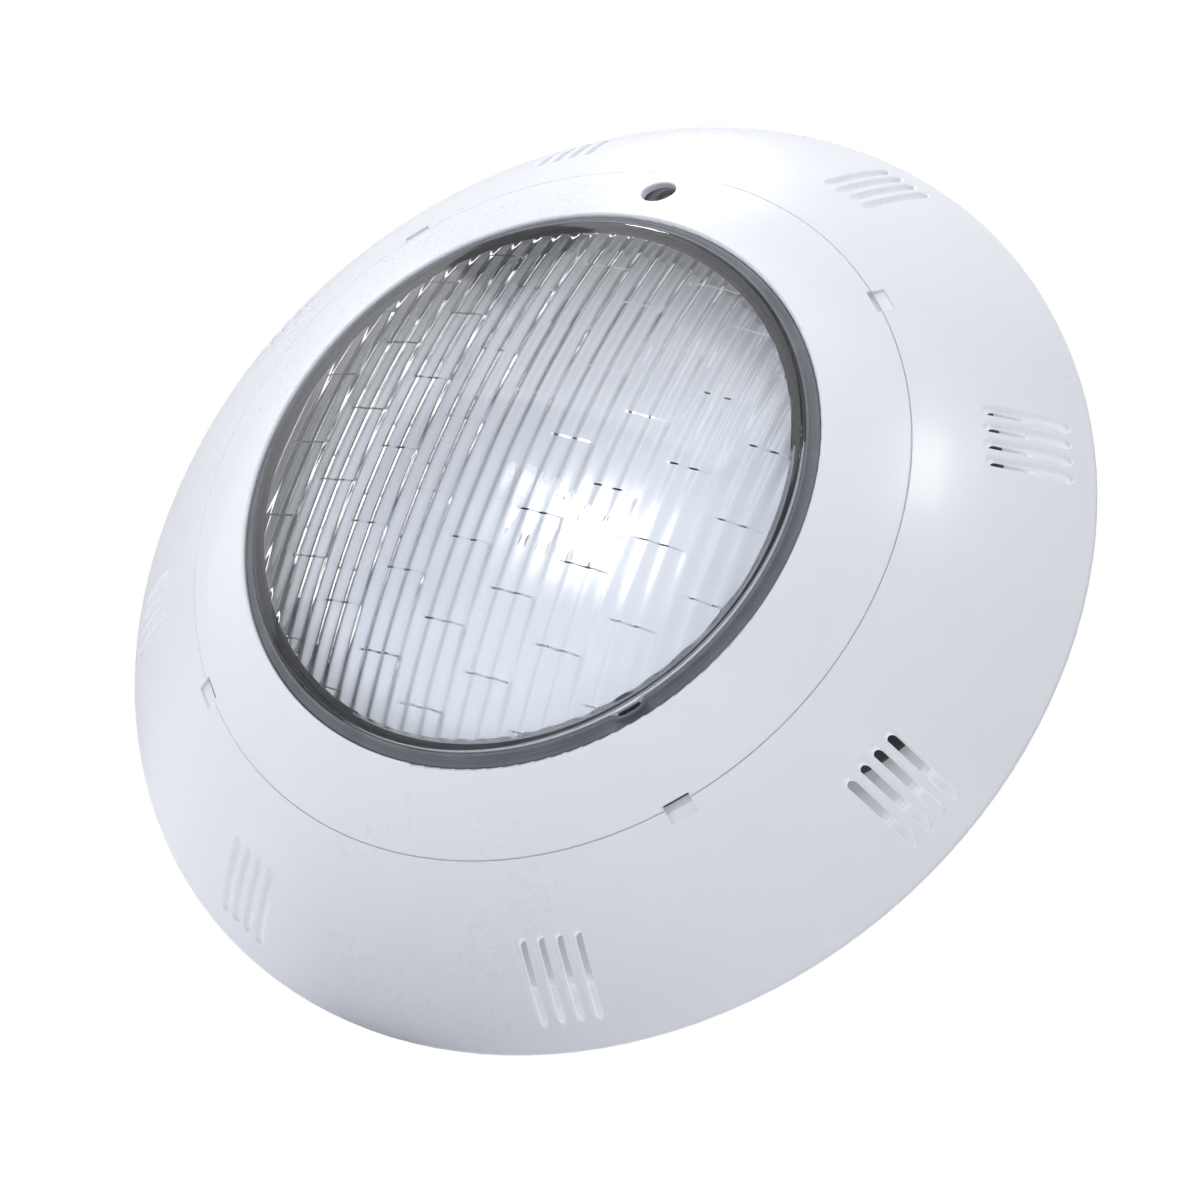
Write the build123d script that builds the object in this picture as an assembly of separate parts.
from build123d import *
import math
import os

# Surface-mounted underwater pool light, in millimetres.
# Modelled with the optical axis on Z, the wall plane at z = 0 and the lock screw towards +Y.
# save() turns each piece to the installed pose: +Z up, front facing -Y, wall plane y = 0.

# ---------------------------------------------------------------- driving dimensions
RIM_R = 145.0            # outer radius of the face
LIP = 1.8                # straight edge at the rim
JOINT_R = 105.4          # joint line between skirt and trim ring
JOINT_H = 37.3
OPENING_R = 84.0         # lens opening in the trim ring
OPENING_H = 48.3
SKIRT_T = 3.0            # walls of the skirt and the trim ring
TRIM_T = 2.3
JOINT_GAP = 0.07         # half the visible gap at the joint line
JOINT_CHAMFER = 0.22     # on both sides of the gap

VENT_GROUPS = 8
VENT_SLOTS = 4           # per group
VENT_PITCH = 5.15
VENT_W = 2.7
VENT_R0, VENT_R1 = 121.5, 139.5
VENT_EDGE = 0.6          # rounding of the slot mouths

PRY_W = 7.6              # pry notches on the joint line
DIAGONALS = (45, 135, 225, 315)   # angles of the pry notches and trim pegs
TRIM_PEG_R = 2.0
TRIM_PEG_PCR = 98.4      # PCR: radius of a pitch circle

CLAMP_PCR = 96.2
CLAMP_ANGLES = [22.5 + 45 * k for k in range(8)]
CLAMP_HOLE_R = 2.25
CLAMP_TOP = 35.5         # seat of the clamp screws
INSERT_R = 2.8           # threaded inserts of the clamp screws
INSERT_Z0, INSERT_Z1 = 20.8, 27.4

LOCK_Y = 96.3            # lock screw, above the lens
LOCK_HOLE_R = 4.7        # in the trim ring
LOCK_CLEAR_R = 5.2       # in the skirt and the clamp ring

LENS_R = 80.4            # visible edge of the glass
LENS_APEX = 65.6
LENS_DOME_R = 220.0
GLASS_T = 4.0
LENS_FLANGE_R = 87.0
LENS_Z0, LENS_Z1 = 33.5, 37.5
NOTCH_ANGLE = -44.5      # drain notch in the gasket's lip

SHELL_FLOOR0, SHELL_FLOOR1 = 14.0, 16.5
SHELL_RI, SHELL_RO = 82.5, 85.5
FLANGE_Z0, FLANGE_Z1 = 27.5, 31.0
FLANGE_R = 103.0
WELL_RI, WELL_RO = 21.5, 24.0
WELL_Z0, WELL_Z1 = 5.0, 7.5

REFLECTOR_Z0, REFLECTOR_DEPTH, REFLECTOR_R = 20.5, 10.0, 78.5
REFLECTOR_T = 0.8
REFLECTOR_HOLE_R = 9.0

PIN_X = 3.175            # half the pitch of the bulb pins
PIN_R = 0.62
CONTACT_Z = 13.0         # axis of the contact tails
SOCKET_SCREW_X = 7.4
BRACKET_SCREW_X = 31.0

GLAND_ANGLE = -47.0      # where the gland boss sits
GLAND_R = 104.0
GLAND_Z = 15.0
PASSAGE_T = -10.0        # tangential place of the wire passage into the shell
PASSAGE_Z = 20.0

TERMINAL_R = 67.0        # centre of the terminal block
TERMINAL_Z = 19.8        # axis of the barrels
POLE_OFFSET = 5.0
SCREW_OFFSET = 3.4       # terminal screws, either side of the block's centre
POLES = (PASSAGE_T + POLE_OFFSET, PASSAGE_T - POLE_OFFSET)

CORE_R, CONDUCTOR_R, LEAD_R = 1.25, 0.75, 1.1
CORE_SPREAD = 1.4        # half the distance between the cores in the passage

CABLE_R = 4.2            # sheath radius
LOOP_R = 117.5           # slack loop behind the skirt
LOOP_Z = 7.5
LOOP_START, LOOP_END = -5.0, 27.0   # degrees
BEND_R, BEND_ANGLE = 30.0, 95.0     # bend inward from the loop
DIP_R = 24.0             # bend towards the wall
TAIL = 78.0              # cable behind the wall plane

PLATE_R = 138.0
PLATE_T = 3.0
PLATE_EDGE = 0.5
MOUNT_PCR = 80.0         # wall screws: four on a 160 mm circle
MOUNT_HOLE_R = 2.75
CABLE_HOLE_X, CABLE_HOLE_Y, CABLE_HOLE_R = 48.7, 56.7, 15.0

SIDES = (-1, 1)


# ---------------------------------------------------------------- helpers
def circle_through(a, b, c):
    """Centre r, centre h and radius of the circle through three (r, h) points."""
    ax, ay = a
    bx, by = b
    cx, cy = c
    aa, bb, cc = ax**2 + ay**2, bx**2 + by**2, cx**2 + cy**2
    d = 2 * (ax * (by - cy) + bx * (cy - ay) + cx * (ay - by))
    x = (aa * (by - cy) + bb * (cy - ay) + cc * (ay - by)) / d
    y = (aa * (cx - bx) + bb * (ax - cx) + cc * (bx - ax)) / d
    return x, y, math.hypot(ax - x, ay - y)


FACE_ARC = circle_through((RIM_R, LIP), (JOINT_R, JOINT_H), (OPENING_R, OPENING_H))
ARC_CENTRE_R, ARC_CENTRE_H, ARC_R = FACE_ARC


def face_height(r, inset=0.0):
    """Height of the face's outer arc at radius r, or of a parallel arc under it."""
    return ARC_CENTRE_H + math.sqrt((ARC_R - inset) ** 2 - (r - ARC_CENTRE_R) ** 2)


def face_radius(h, inset=0.0):
    return ARC_CENTRE_R + math.sqrt((ARC_R - inset) ** 2 - (h - ARC_CENTRE_H) ** 2)


def point(r, h):
    return Vector(r, 0, h)


def lathe(outline):
    """Revolve a closed outline of (r, h) points or ("arc", middle, end) entries about Z."""
    edges = []
    first = current = point(*outline[0])
    for entry in outline[1:]:
        if entry[0] == "arc":
            end = point(*entry[2])
            edges.append(Edge.make_three_point_arc(current, point(*entry[1]), end))
        else:
            end = point(*entry)
            edges.append(Edge.make_line(current, end))
        current = end
    edges.append(Edge.make_line(current, first))
    return revolve(Face(Wire(edges)), Axis.Z, 360)


def rod(x, y, z0, z1, r):
    return Pos(x, y, (z0 + z1) / 2) * Cylinder(r, z1 - z0)


def tube(x, y, z0, z1, outer_r, inner_r):
    return rod(x, y, z0, z1, outer_r) - rod(x, y, z0 - 1, z1 + 1, inner_r)


def rod_x(x, y, z, length, r):
    """Rod centred on x, y, z and lying along X."""
    return Pos(x, y, z) * Rot(0, 90, 0) * Cylinder(r, length)


def rod_y(x, y, z, length, r):
    """Rod centred on x, y, z and lying along Y."""
    return Pos(x, y, z) * Rot(90, 0, 0) * Cylinder(r, length)


def cross(length, width, depth):
    return Box(length, width, depth) + Box(width, length, depth)


def polar(r, degrees):
    return r * math.cos(math.radians(degrees)), r * math.sin(math.radians(degrees))


def polar_vector(r, degrees, z=0.0):
    return Vector(*polar(r, degrees), z)


def clamp_rods(z0, z1, r):
    return [rod(*polar(CLAMP_PCR, a), z0, z1, r) for a in CLAMP_ANGLES]


def edges_on_face(shape, keep):
    """Edges that lie on the face's outer arc and pass the test keep(x, y)."""
    found = []
    for edge in shape.edges():
        samples = [edge.position_at(u) for u in (0.05, 0.35, 0.65, 0.95)]
        if all(keep(p.X, p.Y) and abs(p.Z - face_height(math.hypot(p.X, p.Y))) < 0.02
               for p in samples):
            found.append(edge)
    return found


# Gland frame: x radial through the gland, y tangential.
GLAND_FRAME = Rot(0, 0, GLAND_ANGLE)
RADIAL = polar_vector(1, GLAND_ANGLE)
TANGENT = polar_vector(1, GLAND_ANGLE + 90)
# Socket frame: x along the gland's tangent, y pointing away from the gland.
SOCKET_FRAME = Rot(0, 0, GLAND_ANGLE + 90)


def in_gland(radial, tangential, z):
    return RADIAL * radial + TANGENT * tangential + Vector(0, 0, z)


PLATE_PEGS = [polar(70, a) for a in (200, 340, 110)]
MOUNTS = [polar(MOUNT_PCR, a) for a in (0, 90, 180, 270)]

os.makedirs("parts", exist_ok=True)


def save(name, *shapes):
    """Turn the shapes, one solid each, to the installed pose and write them as one STEP."""
    turned = []
    for shape in shapes:
        solids = list(shape.solids())
        assert len(solids) == 1, f"{name}: expected one solid, got {len(solids)}"
        turned.append(Rot(90, 0, 0) * solids[0])
    out = turned[0] if len(turned) == 1 else Compound(children=turned)
    out.label = name
    export_step(out, f"parts/{name}.step")


# ---------------------------------------------------------------- face
def skirt_ribs():
    """Stiffening ribs between the vent groups; the one over the gland is left out."""
    top = [(r, face_height(r) - 1.6) for r in (107, 112, 117, 122, 127, 132)]
    outline = [(107, 31.5)] + top + [(131, 13.6), (126, 13.6), (110, 23.0)]
    profile = Face(Wire.make_polygon([point(*p) for p in outline], close=True))
    rib = extrude(profile, amount=1.0, dir=(0, 1, 0), both=True)
    return [Rot(0, 0, 45 * k) * rib for k in range(7)]


def vent_cutters():
    cutters = []
    for group in range(VENT_GROUPS):
        for slot in range(VENT_SLOTS):
            y = (slot - (VENT_SLOTS - 1) / 2) * VENT_PITCH
            outline = SlotOverall(VENT_R1 - VENT_R0, VENT_W)
            cutter = Pos((VENT_R0 + VENT_R1) / 2, y, 0) * extrude(outline, amount=40)
            cutters.append(Rot(0, 0, 22.5 + 45 * group) * cutter)
    return cutters


def face_skirt():
    inner_r = JOINT_R + JOINT_GAP
    chamfer_r = inner_r + JOINT_CHAMFER
    flange_r, flange_top, flange_bottom = 92.3, 33.0, 31.05
    foot = 0.3
    skirt = lathe([
        (chamfer_r, face_height(chamfer_r)),
        ("arc", (face_radius(20.0), 20.0), (RIM_R, LIP)),
        (RIM_R, foot),
        (RIM_R - foot, 0.0),
        (face_radius(0.0, SKIRT_T), 0.0),
        ("arc", (face_radius(18.0, SKIRT_T), 18.0),
         (face_radius(flange_bottom, SKIRT_T), flange_bottom)),
        (flange_r, flange_bottom),
        (flange_r, flange_top),
        (inner_r, flange_top),
        (inner_r, face_height(chamfer_r) - JOINT_CHAMFER),
    ])
    for rib in skirt_ribs():
        skirt = skirt + rib
    skirt = skirt - vent_cutters()
    # pry notches: a shallow ramp at the joint line
    for a in DIAGONALS:
        ramp = Pos(JOINT_R + 1.6, 0, JOINT_H - 0.6) * Rot(0, 18, 0) * Box(4.2, PRY_W, 3.6)
        skirt = skirt - Rot(0, 0, a) * ramp
    mouths = edges_on_face(skirt, lambda x, y: 120.0 < math.hypot(x, y) < 141.0)
    skirt = fillet(mouths, VENT_EDGE)
    # screw holes through the inner flange
    return skirt - (clamp_rods(30, 34, CLAMP_HOLE_R) + [rod(0, LOCK_Y, 30, 34, LOCK_CLEAR_R)])


def trim_ring():
    outer_r = JOINT_R - JOINT_GAP
    chamfer_r = outer_r - JOINT_CHAMFER
    wall_r = outer_r - 2.2
    bottom = 33.2
    bore_r, bore_bottom = OPENING_R + 0.1, 44.0
    step_r = OPENING_R + 2.1
    edge_r = OPENING_R + 1.0
    edge_h = face_height(edge_r)
    trim = lathe([
        (chamfer_r, face_height(chamfer_r)),
        ("arc", (95.0, face_height(95.0)), (edge_r, edge_h)),
        ("arc", (OPENING_R + 0.35, edge_h - 0.2), (bore_r, edge_h - 0.9)),
        (bore_r, bore_bottom),
        (step_r, bore_bottom),
        (step_r, face_height(step_r, TRIM_T)),
        ("arc", (94.0, face_height(94.0, TRIM_T)), (wall_r, face_height(wall_r, TRIM_T))),
        (wall_r, bottom),
        (outer_r, bottom),
        (outer_r, face_height(chamfer_r) - JOINT_CHAMFER),
    ])
    trim = trim - rod(0, LOCK_Y, 30, 50, LOCK_HOLE_R)
    lock_edge = edges_on_face(
        trim, lambda x, y: abs(math.hypot(x, y - LOCK_Y) - LOCK_HOLE_R) < 0.05)
    trim = fillet(lock_edge, 0.5)
    # the notches go right through the outer wall, so a blade can reach under the ring
    for a in DIAGONALS:
        turn = Rot(0, 0, a)
        trim = trim - turn * (Pos(outer_r - 0.9, 0, JOINT_H - 1.1) * Box(5.0, PRY_W, 2.6))
        trim = trim - turn * (Pos(outer_r + 0.1, 0, JOINT_H + 0.4) * Box(2.4, PRY_W, 2.6))
    peg_top = face_height(TRIM_PEG_PCR) - 1.4
    for a in DIAGONALS:
        trim = trim + rod(*polar(TRIM_PEG_PCR, a), 33.7, peg_top, TRIM_PEG_R)
    return trim


# ---------------------------------------------------------------- lens clamp
def lens_clamp_ring():
    clamp = lathe([
        (84.1, 39.6), (84.1, 41.4), (92.0, 41.4), (92.0, CLAMP_TOP), (102.4, CLAMP_TOP),
        (102.4, 33.05), (92.0, 33.05), (92.0, 31.2), (90.4, 31.2), (90.4, 39.6),
    ])
    clamp = clamp - clamp_rods(32, 36.5, CLAMP_HOLE_R)
    peg_hole_r = TRIM_PEG_R + 0.12
    clamp = clamp - [rod(*polar(TRIM_PEG_PCR, a), 32, 36.5, peg_hole_r) for a in DIAGONALS]
    return clamp - rod(0, LOCK_Y, 30.5, 36.5, LOCK_CLEAR_R)


def clamp_screws():
    seat = CLAMP_TOP + 0.05
    head = rod(0, 0, seat, seat + 1.9, 3.5)
    head = fillet(head.edges().group_by(Axis.Z)[-1], 0.8)
    screw = head + rod(0, 0, 22.0, 36.0, 2.0)
    screw = screw - Pos(0, 0, 37.5) * cross(4.0, 0.8, 2.4)
    # each screw has its cross slot turned differently
    return [Pos(*polar(CLAMP_PCR, a), 0) * Rot(0, 0, 31 * k) * screw
            for k, a in enumerate(CLAMP_ANGLES)]


def clamp_inserts():
    insert = tube(0, 0, INSERT_Z0, INSERT_Z1, INSERT_R, 2.05)
    return [Pos(*polar(CLAMP_PCR, a), 0) * insert for a in CLAMP_ANGLES]


# ---------------------------------------------------------------- lens and gasket
def dome_height(r, sphere_r):
    return LENS_APEX - LENS_DOME_R + math.sqrt(sphere_r**2 - r**2)


def lens():
    inner_dome_r = LENS_DOME_R - GLASS_T
    edge_r = LENS_R - 1.0
    edge_z = dome_height(edge_r, LENS_DOME_R)
    inner_r = LENS_R - 3.6
    inner_edge_r = inner_r - 3.0
    inner_edge_z = dome_height(inner_edge_r, inner_dome_r)
    return lathe([
        (inner_r, LENS_Z0),
        (LENS_FLANGE_R, LENS_Z0),
        (LENS_FLANGE_R, LENS_Z1),
        (LENS_R, LENS_Z1),
        (LENS_R, edge_z - 0.9),
        ("arc", (LENS_R - 0.28, edge_z - 0.25), (edge_r, edge_z)),
        ("arc", (edge_r / 2, dome_height(edge_r / 2, LENS_DOME_R)), (0.0, LENS_APEX)),
        (0.0, LENS_APEX - GLASS_T),
        ("arc", (inner_r / 2, dome_height(inner_r / 2, inner_dome_r)),
         (inner_edge_r, inner_edge_z)),
        (inner_r, inner_edge_z - 3.4),
    ])


def lens_gasket():
    gasket = lathe([
        (80.5, 49.2), (80.7, 49.4), (81.2, 49.4), (81.4, 49.2), (81.4, 47.6), (81.8, 47.2),
        (83.5, 47.2), (83.9, 46.8), (83.9, 39.5), (90.2, 39.5), (90.2, 30.55),
        (84.65, 30.55), (84.65, 31.35), (79.5, 31.35), (79.5, 33.45),
        (87.05, 33.45), (87.05, 37.55), (80.5, 37.55),
    ])
    return gasket - Rot(0, 0, NOTCH_ANGLE) * Pos(82.2, 0, 47.6) * Box(5.0, 7.4, 6.2)


# ---------------------------------------------------------------- rear shell
def gland_rod(t0, t1, r):
    """Rod on the gland's axis, in the gland frame, between two tangential places."""
    return rod_y(GLAND_R, (t0 + t1) / 2, GLAND_Z, t1 - t0, r)


def rear_shell():
    shell = lathe([
        (0, WELL_Z0),
        (WELL_RO - 2, WELL_Z0),
        ("arc", (WELL_RO - 0.6, WELL_Z0 + 0.6), (WELL_RO, WELL_Z0 + 2)),
        (WELL_RO, SHELL_FLOOR0),
        (SHELL_RO - 5, SHELL_FLOOR0),
        ("arc", (SHELL_RO - 1.46, SHELL_FLOOR0 + 1.46), (SHELL_RO, SHELL_FLOOR0 + 5)),
        (SHELL_RO, FLANGE_Z0), (FLANGE_R, FLANGE_Z0), (FLANGE_R, FLANGE_Z1),
        (90.3, FLANGE_Z1), (90.3, 30.5), (SHELL_RI, 30.5),
        (SHELL_RI, SHELL_FLOOR1 + 3),
        ("arc", (SHELL_RI - 0.88, SHELL_FLOOR1 + 0.88), (SHELL_RI - 3, SHELL_FLOOR1)),
        (WELL_RI, SHELL_FLOOR1), (WELL_RI, WELL_Z1), (0, WELL_Z1),
    ])
    # screw bosses under the flange
    boss = rod(0, 0, 19.0, FLANGE_Z0 + 0.5, 4.6)
    web = Pos(-5.5, 0, 23.5) * Box(9.0, 2.2, 8.4)
    for a in CLAMP_ANGLES:
        shell = shell + Rot(0, 0, a) * (Pos(CLAMP_PCR, 0, 0) * (boss + web))
    # gland boss on the side
    block = Pos(99.0, -8.0, 15.75) * Box(30.0, 16.0, 19.5)
    block = fillet(block.edges().filter_by(Axis.Z).group_by(Axis.X)[-1], 3.0)
    shell = shell + GLAND_FRAME * block
    # sockets for the wall plate's pegs, and bosses for the bracket screws
    boss_top = SHELL_FLOOR0 + 0.5
    for x, y in PLATE_PEGS:
        shell = shell + rod(x, y, 5.5, boss_top, 5.5)
    bracket_places = [in_gland(0, side * BRACKET_SCREW_X, 0) for side in SIDES]
    for place in bracket_places:
        shell = shell + rod(place.X, place.Y, 9.0, boss_top, 3.6)
    cuts = []
    for a in CLAMP_ANGLES:
        x, y = polar(CLAMP_PCR, a)
        cuts.append(rod(x, y, 20.0, 32.0, CLAMP_HOLE_R))
        cuts.append(rod(x, y, INSERT_Z0 - 0.05, INSERT_Z1 + 0.05, INSERT_R + 0.02))
    for x, y in PLATE_PEGS:
        cuts.append(rod(x, y, 5.0, 13.2, 3.05))
    for place in bracket_places:
        cuts.append(rod(place.X, place.Y, 10.5, 17.0, 1.3))
    cuts.append(rod(0, LOCK_Y, 26, 32, 2.8))
    gland_bore = gland_rod(-14.0, 0.0, 6.5) + gland_rod(-0.1, 1.1, 6.5)
    cuts.append(GLAND_FRAME * gland_bore)
    cuts.append(GLAND_FRAME * rod_x(92.0, PASSAGE_T, PASSAGE_Z, 24.0, 3.4))
    return shell - cuts


# ---------------------------------------------------------------- reflector
def reflector():
    def height(r, drop=0.0):
        return REFLECTOR_Z0 + REFLECTOR_DEPTH * (r / REFLECTOR_R) ** 2 - drop

    steps = 12
    span = REFLECTOR_R - REFLECTOR_HOLE_R
    radii = [REFLECTOR_HOLE_R + span * i / steps for i in range(steps + 1)]
    rim = [  # (r, h) from the end of the upper curve round to the end of the lower one
        (REFLECTOR_R, height(REFLECTOR_R)),
        (REFLECTOR_R, 31.3),
        (84.55, 31.3),
        (84.55, 30.55),
        (REFLECTOR_R + 0.8, 30.55),
        (REFLECTOR_R + 0.8, height(REFLECTOR_R, REFLECTOR_T)),
        (REFLECTOR_R, height(REFLECTOR_R, REFLECTOR_T)),
    ]
    edges = [
        Edge.make_spline([point(r, height(r)) for r in radii]),
        *[Edge.make_line(point(*a), point(*b)) for a, b in zip(rim, rim[1:])],
        Edge.make_spline([point(r, height(r, REFLECTOR_T)) for r in radii]),
        Edge.make_line(point(REFLECTOR_HOLE_R, height(REFLECTOR_HOLE_R, REFLECTOR_T)),
                       point(REFLECTOR_HOLE_R, height(REFLECTOR_HOLE_R))),
    ]
    return revolve(Face(Wire(edges)), Axis.Z, 360)


# ---------------------------------------------------------------- bulb, in the socket frame
def bulb_glass():
    capsule = lathe([
        (0, 23.0), (4.6, 23.0), ("arc", (5.7, 24.0), (6.0, 25.6)), (6.0, 42.0),
        ("arc", (4.4, 46.2), (1.0, 47.6)), (0.7, 48.6), (0, 48.8),
    ])
    pinch = Pos(0, 0, 21.2) * Box(10.0, 4.0, 6.0)
    pinch = fillet(pinch.edges().filter_by(Axis.Z), 1.2)
    capsule = capsule + pinch
    void = lathe([
        (0, 25.0), (4.2, 25.0), ("arc", (4.8, 25.5), (5.0, 26.4)), (5.0, 41.8),
        ("arc", (3.7, 45.0), (0.8, 46.5)), (0.0, 46.6),
    ])
    pin_holes = [rod(side * PIN_X, 0, 17, 26.0, PIN_R + 0.04) for side in SIDES]
    return SOCKET_FRAME * (capsule - void - pin_holes)


def bulb_filament():
    coil_z, coil_r, coil_length, turns, wire_r = 37.5, 1.1, 5.6, 7, 0.17
    helix = Edge.make_helix(coil_length / turns, coil_length, coil_r,
                            center=(-coil_length / 2, 0, coil_z), normal=(1, 0, 0))
    start = Plane(origin=helix.position_at(0), z_dir=helix.tangent_at(0))
    return SOCKET_FRAME * sweep(start * Circle(wire_r), path=helix, is_frenet=True)


def socket_rods(x, z0, z1, r):
    """A pair of upright rods either side of the axis, in the socket frame."""
    return [SOCKET_FRAME * rod(side * x, 0, z0, z1, r) for side in SIDES]


# ---------------------------------------------------------------- socket and bracket
def bulb_socket():
    bottom, top = 9.55, 18.0
    socket = Pos(0, 0, (bottom + top) / 2) * Box(20.0, 14.0, top - bottom)
    socket = fillet(socket.edges().filter_by(Axis.Z), 2.0)
    cuts = []
    for side in SIDES:
        pin, screw = side * PIN_X, side * SOCKET_SCREW_X
        cuts += [
            rod(pin, 0, 16.5, 19, 0.9),               # pin entry
            rod(pin, 0, 11.0, 16.6, 1.6),             # contact chamber
            rod_y(pin, -5.0, CONTACT_Z, 8.0, 0.8),    # contact tail
            rod(screw, 0, 9, 19, 1.3),                # screw shank
            rod(screw, 0, 15.4, 19, 2.3),             # screw head
        ]
    return SOCKET_FRAME * (socket - cuts)


def socket_contact(side):
    x = side * PIN_X
    bore_r = 0.68
    contact = tube(x, 0, 11.1, 16.4, 1.5, bore_r)
    contact = contact + rod_y(x, -5.4, CONTACT_Z, 8.4, 0.6)
    return SOCKET_FRAME * (contact - rod(x, 0, 10, 18, bore_r))


def socket_bracket():
    width, sheet = 14.0, 1.0
    bracket = Pos(0, 0, 9.0) * Box(26.0, width, sheet)
    for side in SIDES:
        bracket = bracket + Pos(side * 12.5, 0, 13.0) * Box(sheet, width, 9.0)
        bracket = bracket + Pos(side * 24.0, 0, 17.05) * Box(24.0, width, sheet)
    bracket = bracket - [rod(side * SOCKET_SCREW_X, 0, 8, 10, 1.1) for side in SIDES]
    bracket = bracket - [rod(side * BRACKET_SCREW_X, 0, 16, 18, 1.7) for side in SIDES]
    bracket = fillet(bracket.edges().filter_by(Axis.Z).group_by(Axis.X)[-1], 3.0)
    bracket = fillet(bracket.edges().filter_by(Axis.Z).group_by(Axis.X)[0], 3.0)
    return SOCKET_FRAME * bracket


def slotted_screws(x, seat, tip, head_r, head_h, shank_r):
    """A pair of slotted screws either side of the axis, in the socket frame."""
    screws = []
    for side in SIDES:
        screw = rod(side * x, 0, seat, seat + head_h, head_r)
        screw = screw + rod(side * x, 0, tip, seat + 0.1, shank_r)
        slot = Pos(side * x, 0, seat + head_h) * Box(head_r * 1.5, 0.6, head_h * 0.9)
        screws.append(SOCKET_FRAME * (screw - slot))
    return screws


# ---------------------------------------------------------------- terminal block
def terminal_block():
    block = Pos(TERMINAL_R, PASSAGE_T, 20.55) * Box(13.0, 20.0, 8.0)
    block = fillet(block.edges().filter_by(Axis.Z), 1.2)
    cuts = []
    for pole in POLES:
        cuts.append(rod_x(TERMINAL_R, pole, TERMINAL_Z, 14.0, 2.05))
        for offset in (-SCREW_OFFSET, SCREW_OFFSET):
            cuts.append(rod(TERMINAL_R + offset, pole, 19.0, 26.0, 1.75))
    cuts.append(Pos(TERMINAL_R, PASSAGE_T, 23.6) * Box(14.0, 1.4, 2.6))
    return GLAND_FRAME * (block - cuts)


def terminal_barrel(pole):
    barrel = Cylinder(2.0, 12.0) - Cylinder(1.3, 13.0)
    barrel = Pos(TERMINAL_R, pole, TERMINAL_Z) * Rot(0, 90, 0) * barrel
    barrel = barrel - [rod(TERMINAL_R + offset, pole, 20.0, 26.0, 1.3)
                       for offset in (-SCREW_OFFSET, SCREW_OFFSET)]
    return GLAND_FRAME * barrel


def terminal_screws():
    top = 24.0
    screws = []
    for pole in POLES:
        for offset in (-SCREW_OFFSET, SCREW_OFFSET):
            x = TERMINAL_R + offset
            screw = rod(x, pole, 20.75, top, 1.2) + rod(x, pole, 22.4, top, 1.65)
            screw = screw - Pos(x, pole, top) * Box(3.0, 0.5, 1.2)
            screws.append(GLAND_FRAME * screw)
    return screws


# ---------------------------------------------------------------- wires
def curved_wire(points, r, start_dir, end_dir):
    spline = Edge.make_spline(points, tangents=[start_dir, end_dir])
    start = Plane(origin=spline.position_at(0), z_dir=spline.tangent_at(0))
    return sweep(start * Circle(r), path=spline)


def straight_wire(start, direction, length, r):
    return extrude(Plane(origin=start, z_dir=direction) * Circle(r), amount=length)


def cable_core(sign, pole):
    """Core from the cable's end, through the passage, to the terminal block."""
    t = PASSAGE_T + sign * CORE_SPREAD
    outer, inner = in_gland(95.0, t, PASSAGE_Z), in_gland(82.5, t, PASSAGE_Z)
    start = in_gland(GLAND_R - sign * 1.5, -5.6, GLAND_Z)
    end = in_gland(75.0, pole, TERMINAL_Z)
    entry = curved_wire([start, outer], CORE_R, -TANGENT, -RADIAL)
    middle = straight_wire(outer, -RADIAL, 12.5, CORE_R)
    return entry + middle + curved_wire([inner, end], CORE_R, -RADIAL, -RADIAL)


def socket_lead(sign, pole):
    """Lead from a socket contact to the terminal block."""
    t = sign * PIN_X
    stations = [  # radial, tangential, height
        (9.75, t, CONTACT_Z),
        (13.0, t, 13.5),
        (17.5, t - 0.2, 17.3),
        (22.0, t - 0.6, 18.35),
        (42.0, (t + pole) / 2 - 0.4, 18.6),
        (58.0, pole, TERMINAL_Z),
    ]
    return curved_wire([in_gland(*s) for s in stations], LEAD_R, RADIAL, RADIAL)


def cable_conductors():
    """Bare ends inside the terminal barrels: cable side first, then socket side."""
    ends = [(74.95, -RADIAL, 8.6), (58.05, RADIAL, 7.2)]   # radial place, direction, length
    return [straight_wire(in_gland(r, pole, TERMINAL_Z), direction, length, CONDUCTOR_R)
            for r, direction, length in ends for pole in POLES]


# ---------------------------------------------------------------- cable gland
GLAND_HEX = 17.0         # across flats


def gland_tube(t0, t1, outer_r, inner_r):
    cutter = rod_y(GLAND_R, (t0 + t1) / 2, GLAND_Z, t1 - t0 + 2, inner_r)
    return GLAND_FRAME * (gland_rod(t0, t1, outer_r) - cutter)


def gland_hex(t0, t1):
    start = Plane(origin=(GLAND_R, t0, GLAND_Z), z_dir=(0, 1, 0), x_dir=(1, 0, 0))
    return extrude(start * RegularPolygon(GLAND_HEX / math.sqrt(3), 6), amount=t1 - t0)


def gland_body():
    body = gland_rod(-5.0, 1.6, 6.4) + gland_hex(1.5, 5.5) + gland_rod(5.4, 12.0, 7.2)
    return GLAND_FRAME * (body - gland_rod(-9.0, 13.0, 4.4) - gland_rod(8.0, 13.0, 6.0))


def gland_nut():
    collar_r = 7.9
    nut = gland_hex(6.4, 14.0) + gland_rod(13.9, 18.0, collar_r)
    nut = nut - gland_rod(6.0, 15.2, 7.3) - gland_rod(15.0, 19.0, 4.5)
    circles = nut.edges().filter_by(GeomType.CIRCLE)
    collar_edge = circles.sort_by(lambda e: -abs(e.radius - collar_r))[-1]
    return GLAND_FRAME * fillet(collar_edge, 1.2)


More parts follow.
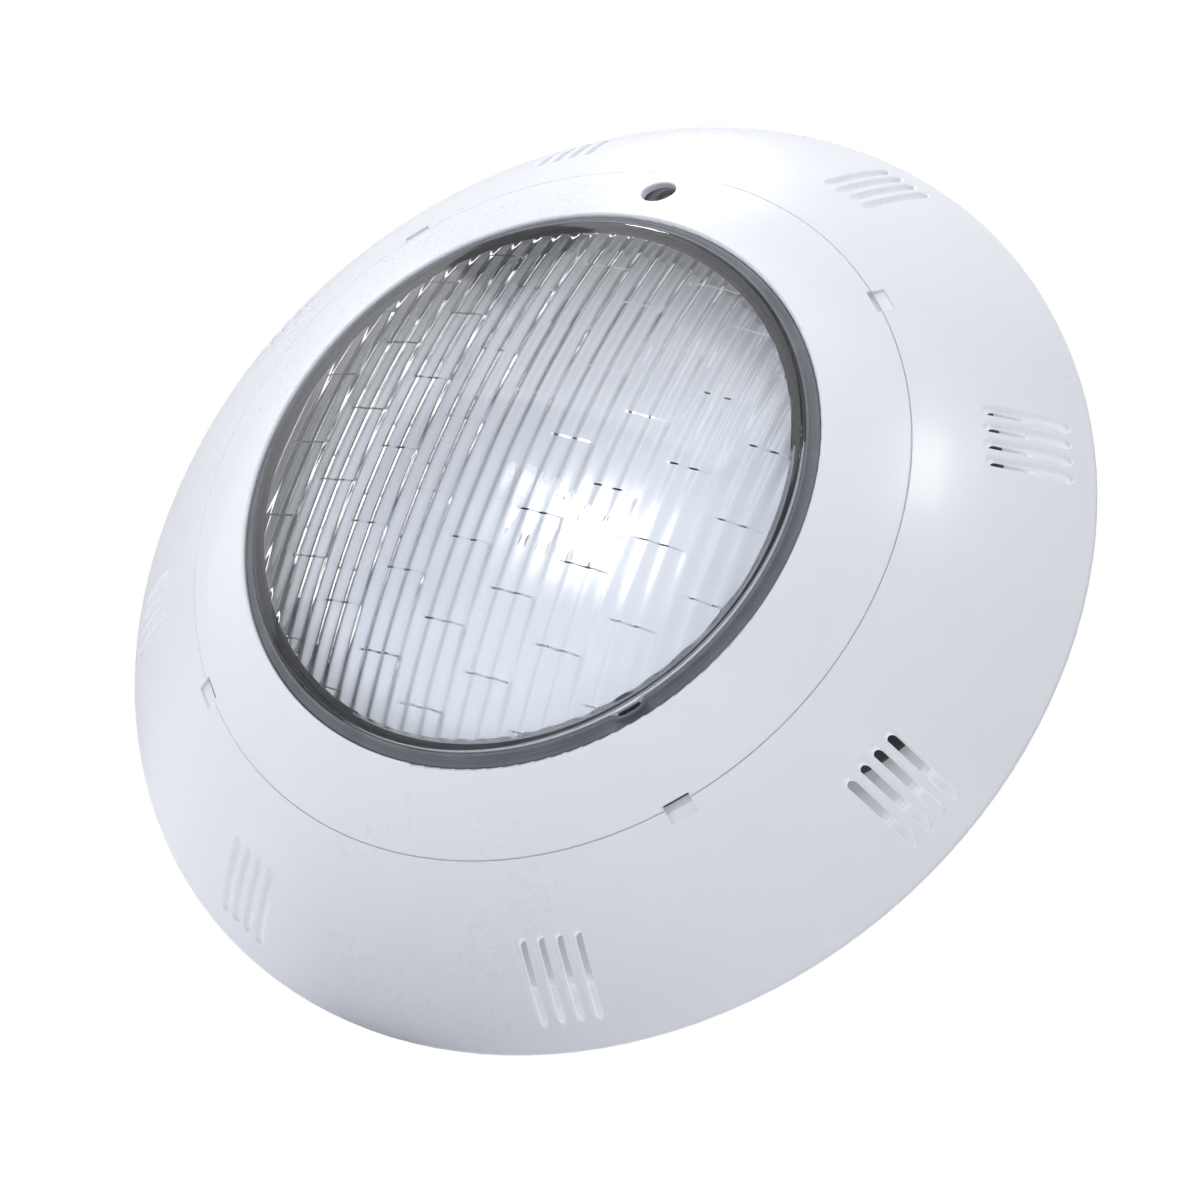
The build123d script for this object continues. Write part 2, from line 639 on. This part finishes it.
# ---------------------------------------------------------------- supply cable
def supply_cable():
    """Sheath from the gland through the slack loop and the wall hole to the tail."""
    def on_loop(degrees):
        return polar_vector(LOOP_R, degrees, LOOP_Z)

    inside = in_gland(GLAND_R, -5.5, GLAND_Z)
    outside = in_gland(GLAND_R, 19.0, GLAND_Z)
    loop_start, loop_end = on_loop(LOOP_START), on_loop(LOOP_END)
    bend_centre = loop_end - polar_vector(BEND_R, LOOP_END)
    bend_mid = bend_centre + polar_vector(BEND_R, LOOP_END + BEND_ANGLE / 2)
    bend_end = bend_centre + polar_vector(BEND_R, LOOP_END + BEND_ANGLE)
    heading = polar_vector(1.0, LOOP_END + BEND_ANGLE + 90)
    dip_mid = (bend_end + heading * (DIP_R * math.sin(math.pi / 4))
               + Vector(0, 0, -DIP_R * (1 - math.cos(math.pi / 4))))
    dip_end = bend_end + heading * DIP_R + Vector(0, 0, -DIP_R)
    route = Wire([
        Edge.make_line(inside, outside),
        Edge.make_spline([outside, loop_start],
                         tangents=[TANGENT, polar_vector(1, LOOP_START + 90)]),
        Edge.make_three_point_arc(loop_start, on_loop((LOOP_START + LOOP_END) / 2), loop_end),
        Edge.make_three_point_arc(loop_end, bend_mid, bend_end),
        Edge.make_three_point_arc(bend_end, dip_mid, dip_end),
        Edge.make_line(dip_end, Vector(dip_end.X, dip_end.Y, -TAIL)),
    ])
    return sweep(Plane(origin=inside, z_dir=TANGENT) * Circle(CABLE_R), path=route)


# ---------------------------------------------------------------- wall plate
def wall_plate():
    plate = lathe([
        (0, 0), (PLATE_R - PLATE_EDGE, 0), (PLATE_R, PLATE_EDGE),
        (PLATE_R, PLATE_T - PLATE_EDGE), (PLATE_R - PLATE_EDGE, PLATE_T), (0, PLATE_T),
    ])
    root = PLATE_T - 0.5     # raised features start inside the plate
    # lock screw post with a web on each side
    plate = plate + rod(0, LOCK_Y, root, 24.0, 6.6)
    for side in (1, -1):
        plate = plate + Pos(side * 8.0, LOCK_Y, 12.0) * Box(6.0, 2.0, 18.5)
    for x, y in PLATE_PEGS:
        plate = plate + rod(x, y, root, 12.6, 2.9)
    for x, y in MOUNTS:
        plate = plate + rod(x, y, root, 4.5, 7.0)
    # two ring ribs about the optical axis
    plate = plate + tube(0, 0, root, 4.2, 42.0, 39.8) + tube(0, 0, root, 5.0, 128.0, 126.0)
    cuts = [rod(CABLE_HOLE_X, CABLE_HOLE_Y, -1, 6, CABLE_HOLE_R)]
    cuts += [rod(x, y, -1, 6, MOUNT_HOLE_R) for x, y in MOUNTS]
    cuts.append(rod(0, LOCK_Y, 9.9, 25.0, 3.63))
    cuts.append(rod(0, LOCK_Y, 5.0, 10.0, 3.0))
    return plate - cuts


# ---------------------------------------------------------------- lock screw and clip
def lock_screw():
    seat, head_top = 31.95, 35.25
    head = rod(0, LOCK_Y, seat, head_top, 4.3)
    head = fillet(head.edges().group_by(Axis.Z)[-1], 1.2)
    screw = head + rod(0, LOCK_Y, 9.0, 32.5, 2.45)
    screw = chamfer(screw.edges().group_by(Axis.Z)[0], 0.6)
    screw = screw - Pos(0, LOCK_Y, head_top) * cross(5.0, 1.0, 4.0)
    return screw - tube(0, LOCK_Y, 25.6, 26.5, 3.0, 2.0)     # groove for the clip


def lock_clip():
    return tube(0, LOCK_Y, 25.7, 26.4, 4.4, 2.05) - Pos(4.0, LOCK_Y, 26.0) * Box(8.0, 2.4, 2.0)


# ---------------------------------------------------------------- build
save("face_skirt", face_skirt())
save("trim_ring", trim_ring())
save("lens_clamp_ring", lens_clamp_ring())
save("clamp_screws", *clamp_screws())
save("clamp_inserts", *clamp_inserts())
save("lens", lens())
save("lens_gasket", lens_gasket())
save("rear_shell", rear_shell())
save("reflector", reflector())
save("bulb_glass", bulb_glass())
save("bulb_filament", bulb_filament())
save("filament_posts", *socket_rods(3.2, 25.25, 38.2, 0.22))
save("bulb_pins", *socket_rods(PIN_X, 12.2, 25.2, PIN_R))
save("bulb_socket", bulb_socket())
save("socket_contacts", *[socket_contact(side) for side in SIDES])
save("socket_bracket", socket_bracket())
save("socket_screws", *slotted_screws(SOCKET_SCREW_X, seat=15.45, tip=8.2, head_r=2.1,
                                      head_h=1.5, shank_r=1.05))
save("bracket_screws", *slotted_screws(BRACKET_SCREW_X, seat=17.6, tip=11.0, head_r=2.7,
                                       head_h=1.6, shank_r=1.25))
save("terminal_block", terminal_block())
save("terminal_barrels", *[terminal_barrel(pole) for pole in POLES])
save("terminal_screws", *terminal_screws())
save("cable_cores", *[cable_core(sign, pole) for sign, pole in zip((1, -1), POLES)])
save("socket_leads", *[socket_lead(sign, pole) for sign, pole in zip((1, -1), POLES)])
save("cable_conductors", *cable_conductors())
save("gland_washer", gland_tube(0.05, 1.45, 8.2, 6.55))
save("gland_body", gland_body())
save("gland_seal", gland_tube(8.1, 15.1, 5.9, 4.26))
save("gland_nut", gland_nut())
save("supply_cable", supply_cable())
save("wall_plate", wall_plate())
save("lock_insert", tube(0, LOCK_Y, 10.0, 24.0, 3.6, 2.55))
save("lock_screw", lock_screw())
save("lock_washer", tube(0, LOCK_Y, 31.05, 31.9, 4.7, 2.6))
save("lock_clip", lock_clip())
